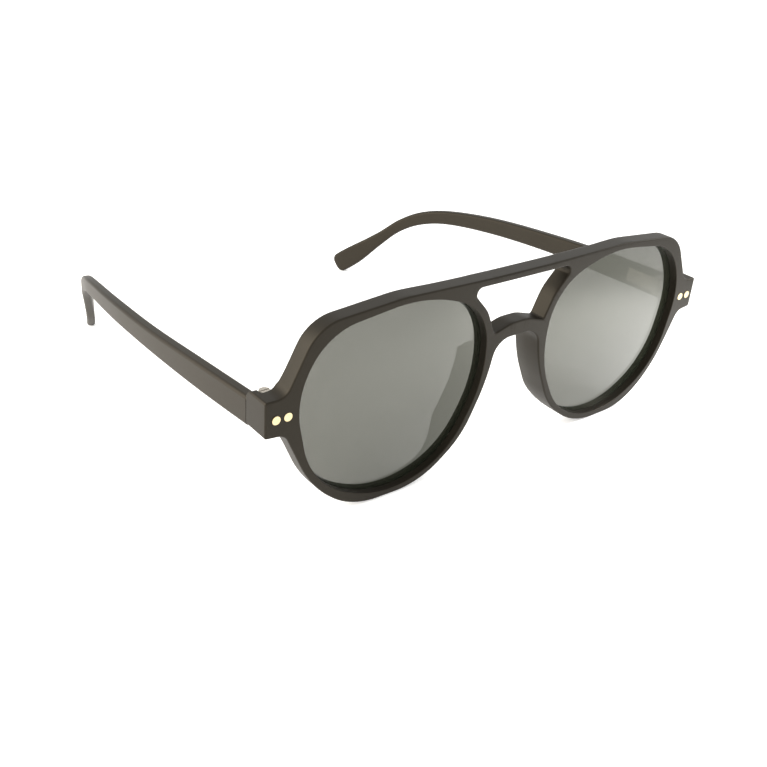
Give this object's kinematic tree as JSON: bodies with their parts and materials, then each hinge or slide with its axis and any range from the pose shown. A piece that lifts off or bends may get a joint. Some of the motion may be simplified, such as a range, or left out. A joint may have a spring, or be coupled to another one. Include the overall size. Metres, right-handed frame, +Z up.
{
  "type": "aviator sunglasses",
  "caption": "Double-bridge aviator sunglasses in matte dark plastic with smoke lenses; two temples fold on pinned hinges.",
  "frame": {"origin": "centre of the box footprint, on the table plane that the rims and the temple tips rest on", "axes": "+X to the wearer's left, +Y from the front back along the temples, +Z up; the front's lens side faces -Y"},
  "size_m": [0.1428, 0.1516, 0.0507],
  "materials": {
    "front": "satin, injected plastic",
    "temple": "satin, injected plastic",
    "lens": "polished grey-green smoke tint",
    "hinge": "brushed",
    "screw": "turned",
    "core": "drawn strip",
    "rivet": "pale gold, ground flush"
  },
  "bodies": {
    "front": {"front_frame": "front", "lens_left": "lens", "lens_right": "lens", "front_leaf_left": "hinge", "front_leaf_right": "hinge", "rivet_outer_left": "rivet", "rivet_inner_left": "rivet", "rivet_outer_right": "rivet", "rivet_inner_right": "rivet", "hinge_screw_left": "screw", "hinge_screw_right": "screw"},
    "temple_left": {"temple_left": "temple", "temple_leaf_left": "hinge", "temple_core_left": "core"},
    "temple_right": {"temple_right": "temple", "temple_leaf_right": "hinge", "temple_core_right": "core"}
  },
  "joints": [
    {"name": "hinge_left", "type": "hinge", "parent": "front", "child": "temple_left", "pos_m": [0.06545, -0.06487, 0.03015], "axis": [0, -0.0806, 0.9968], "range_deg": [0, 86.5]},
    {"name": "hinge_right", "type": "hinge", "parent": "front", "child": "temple_right", "pos_m": [-0.06545, -0.06487, 0.03015], "axis": [0, 0.0806, -0.9968], "range_deg": [0, 82]}
  ]
}
